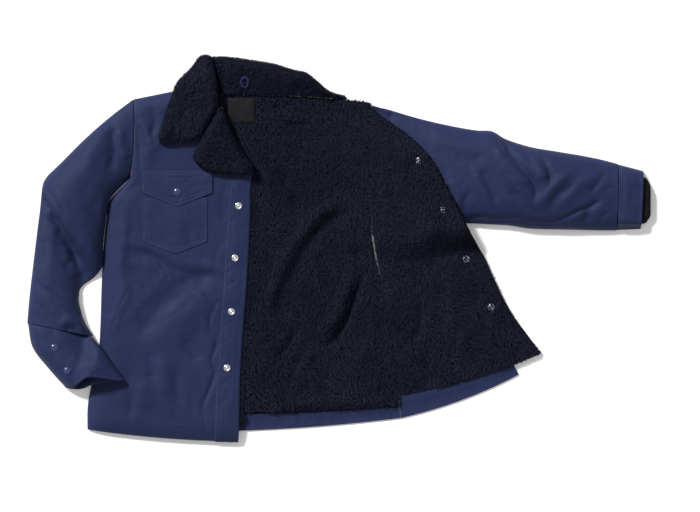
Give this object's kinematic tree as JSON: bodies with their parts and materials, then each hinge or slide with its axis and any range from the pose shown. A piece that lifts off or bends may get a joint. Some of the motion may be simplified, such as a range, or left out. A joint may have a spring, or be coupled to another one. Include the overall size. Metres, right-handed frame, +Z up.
{
  "type": "ranch jacket",
  "caption": "Pile-lined snap-front ranch jacket laid flat on its back, right front closed, left front thrown open to show the pile lining.",
  "frame": {"origin": "middle of the bounding box at floor level", "axes": "+Z up from the surface it lies on, +Y towards the collar, +X towards the opened left side"},
  "size_m": [1.246, 0.7717, 0.0615],
  "materials": {
    "shell": "matt navy shell cloth",
    "pile": "deep curly pile, very dark navy",
    "knit": "black rib knit",
    "label": "black woven satin, bare",
    "metal": "bright nickel",
    "enamel": "glossy navy enamel"
  },
  "bodies": {
    "root": {"back_shell": "shell", "front_right_shell": "shell", "front_left_shell": "shell", "placket_right": "shell", "chest_pocket": "shell", "pocket_flap": "shell", "hem_back": "shell", "hem_front_left": "shell", "hem_front_right": "shell", "sleeve_right_upper": "shell", "sleeve_right_under": "shell", "sleeve_left_upper": "shell", "sleeve_left_under": "shell", "cuff_right": "shell", "cuff_left": "shell", "under_collar_back": "shell", "under_collar_leaf": "shell", "under_lapel_right": "shell", "hanger_loop": "shell", "lining_back": "pile", "lining_front_left": "pile", "lining_front_right": "pile", "collar_back": "pile", "collar_leaf_right": "pile", "lapel_right": "pile", "knit_cuff_right": "knit", "knit_cuff_left": "knit", "neck_label": "label", "placket_snap_1": "metal", "placket_snap_2": "metal", "placket_snap_3": "metal", "placket_snap_4": "metal", "front_left_snap_1": "metal", "front_left_snap_2": "metal", "front_left_snap_3": "metal", "front_left_snap_4": "metal", "flap_snap": "enamel", "cuff_snap_1": "enamel", "cuff_snap_2": "enamel"}
  },
  "joints": []
}
